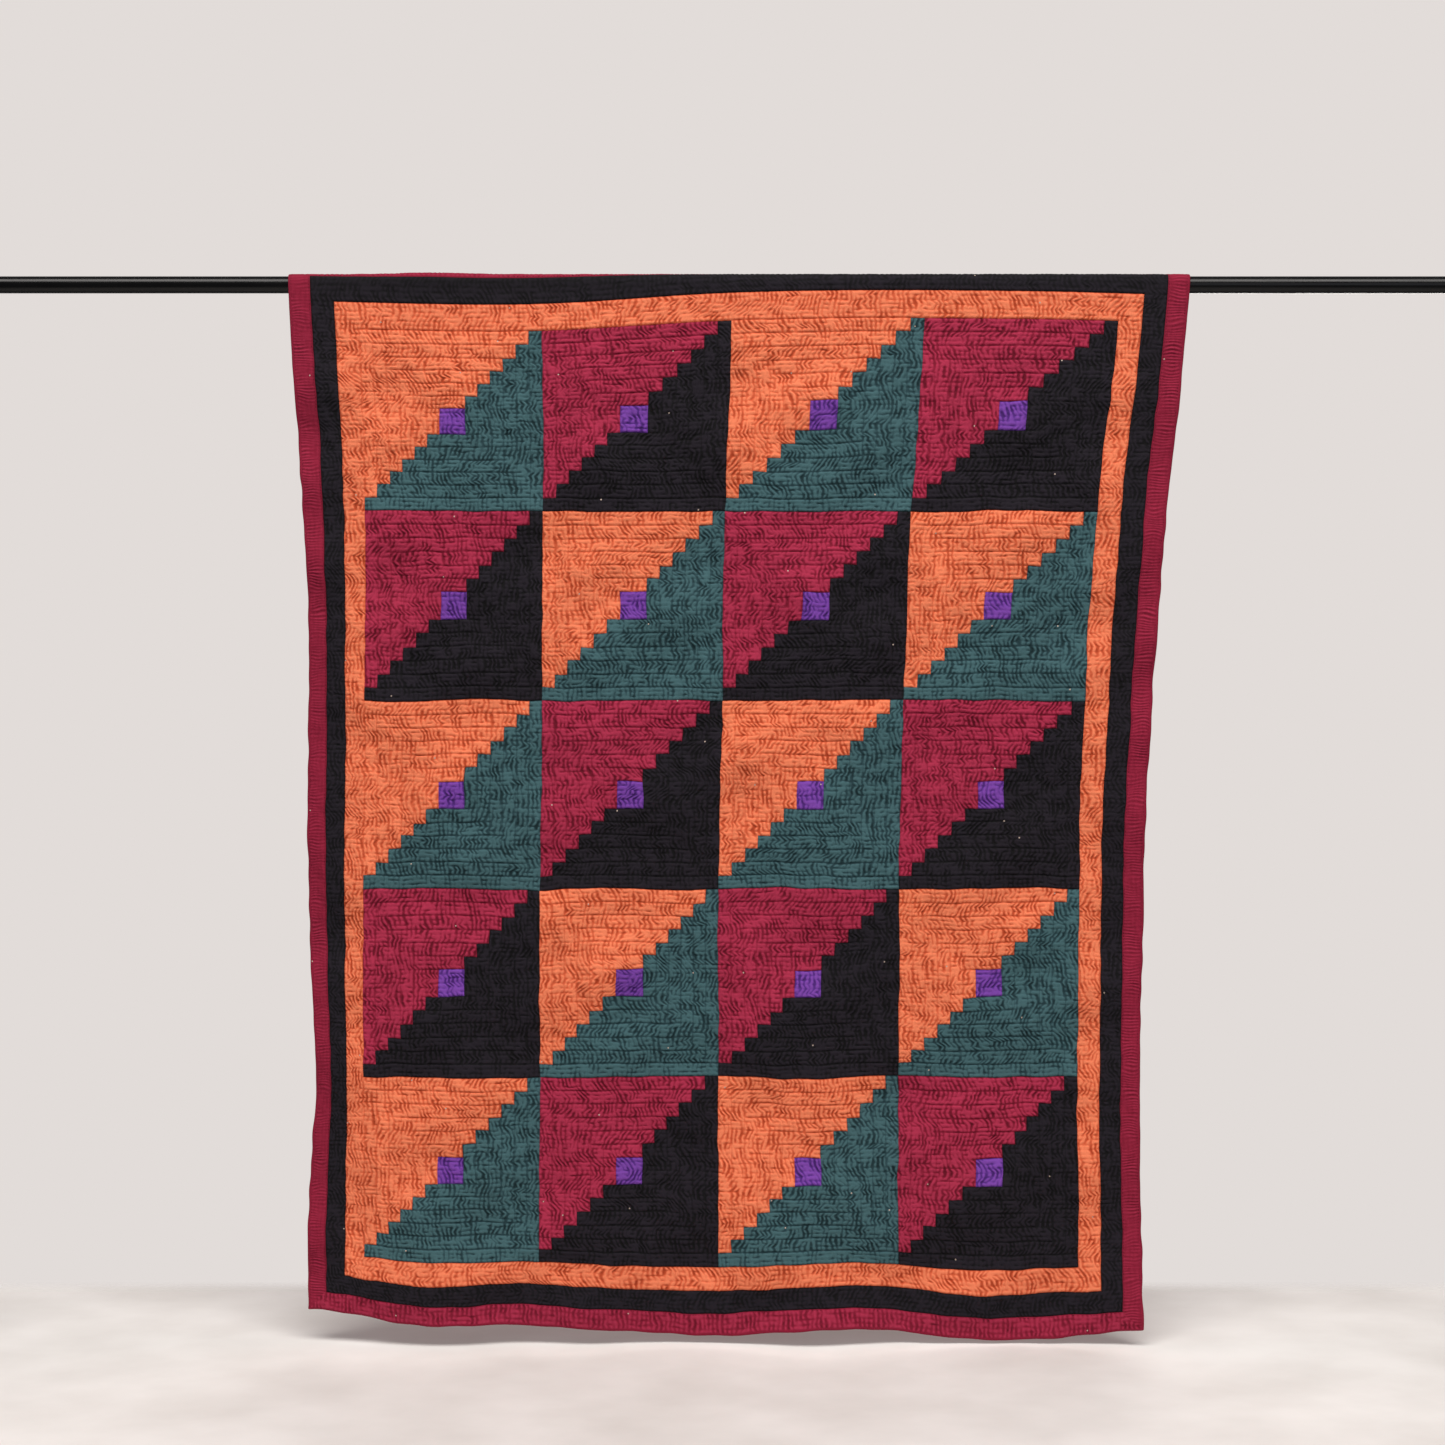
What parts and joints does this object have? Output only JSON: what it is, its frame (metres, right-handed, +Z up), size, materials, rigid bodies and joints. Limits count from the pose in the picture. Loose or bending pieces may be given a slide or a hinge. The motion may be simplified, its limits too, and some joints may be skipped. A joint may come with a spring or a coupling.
{
  "type": "quilt on a display rack",
  "caption": "Log cabin patchwork quilt hung by a back sleeve from the rail of a free-standing display rack with T feet and telescopic masts.",
  "frame": {"origin": "on the floor, in the middle of the rack's footprint", "axes": "+X along the rail, the rack's longest side; +Y away from the pieced side, across the feet; +Z up"},
  "size_m": [3.145, 0.65, 2.035],
  "materials": {
    "satin_black_steel": "satin black powder coat",
    "black_casting": "fine-textured black powder coat on cast alloy",
    "black_nylon": "moulded, matt",
    "black_rubber": "moulded, matt",
    "zinc_steel": "zinc plated",
    "cotton_orange": "plain woven cotton, quilted",
    "cotton_green": "plain woven cotton, quilted",
    "cotton_crimson": "plain woven cotton, quilted",
    "cotton_black": "plain woven cotton, quilted",
    "cotton_purple": "plain woven cotton, quilted",
    "cotton_sleeve": "plain woven cotton",
    "cotton_wadding": "needled cotton wadding"
  },
  "bodies": {
    "stands": {"foot_bar_left": "satin_black_steel", "foot_bar_right": "satin_black_steel", "base_bracket_left": "satin_black_steel", "base_bracket_right": "satin_black_steel", "lower_mast_left": "satin_black_steel", "lower_mast_right": "satin_black_steel", "mast_collar_left": "black_casting", "mast_collar_right": "black_casting", "foot_end_caps": "black_nylon", "rubber_glides": "black_rubber", "base_bolts": "zinc_steel", "socket_screws": "zinc_steel"},
    "upper_frame": {"upper_mast_left": "satin_black_steel", "upper_mast_right": "satin_black_steel", "rail_saddle_left": "black_casting", "rail_saddle_right": "black_casting", "button_spring_left": "zinc_steel", "button_spring_right": "zinc_steel", "mast_bushes": "black_nylon", "saddle_screws": "zinc_steel", "rail_left": "satin_black_steel", "rail_centre": "satin_black_steel", "rail_right": "satin_black_steel", "rail_joiners": "satin_black_steel", "joiner_rivets": "zinc_steel", "rail_end_caps": "black_nylon"},
    "height_knob_left": {"height_knob_left": "black_nylon"},
    "height_knob_right": {"height_knob_right": "black_nylon"},
    "saddle_knob_left": {"saddle_knob_left": "black_nylon"},
    "saddle_knob_right": {"saddle_knob_right": "black_nylon"},
    "snap_button_left": {"snap_button_left": "zinc_steel"},
    "snap_button_right": {"snap_button_right": "zinc_steel"},
    "quilt_head": {"hanging_sleeve": "cotton_sleeve", "head_backing": "cotton_crimson", "head_wadding": "cotton_wadding", "head_border_orange": "cotton_orange", "head_border_black": "cotton_black", "head_binding": "cotton_crimson"},
    "quilt_drop": {"backing": "cotton_crimson", "wadding": "cotton_wadding", "binding_crimson": "cotton_crimson", "border_black": "cotton_black", "border_orange": "cotton_orange", "block_centres_purple": "cotton_purple", "block_logs_orange": "cotton_orange", "block_logs_green": "cotton_green", "block_logs_crimson": "cotton_crimson", "block_logs_black": "cotton_black"}
  },
  "joints": [
    {"name": "height_slide", "type": "slide", "parent": "stands", "child": "upper_frame", "axis": [0, 0, 1], "range_m": [0, 0.45]},
    {"name": "height_knob_turn_left", "type": "hinge", "parent": "stands", "child": "height_knob_left", "pos_m": [-1.51, 0, 1.183], "axis": [-1, 0, 0], "range_deg": [0, 270]},
    {"name": "height_knob_turn_right", "type": "hinge", "parent": "stands", "child": "height_knob_right", "pos_m": [1.51, 0, 1.183], "axis": [1, 0, 0], "range_deg": [0, 270]},
    {"name": "saddle_knob_turn_left", "type": "hinge", "parent": "upper_frame", "child": "saddle_knob_left", "pos_m": [-1.51, 0.03, 2.01], "axis": [0, 1, 0], "range_deg": [0, 270]},
    {"name": "saddle_knob_turn_right", "type": "hinge", "parent": "upper_frame", "child": "saddle_knob_right", "pos_m": [1.51, 0.03, 2.01], "axis": [0, 1, 0], "range_deg": [0, 270]},
    {"name": "snap_button_press_left", "type": "slide", "parent": "upper_frame", "child": "snap_button_left", "axis": [0, 0, 1], "range_m": [0, 0.004], "stiffness_N_per_m": 400, "deforming": ["button_spring_left"]},
    {"name": "snap_button_press_right", "type": "slide", "parent": "upper_frame", "child": "snap_button_right", "axis": [0, 0, 1], "range_m": [0, 0.004], "stiffness_N_per_m": 400, "deforming": ["button_spring_right"]},
    {"name": "quilt_slide", "type": "slide", "parent": "upper_frame", "child": "quilt_head", "axis": [1, 0, 0], "range_m": [-0.6, 0.54]},
    {"name": "quilt_swing", "type": "hinge", "parent": "quilt_head", "child": "quilt_drop", "pos_m": [0, -0.0203, 1.941], "axis": [1, 0, 0], "range_deg": [-25, 12]}
  ]
}
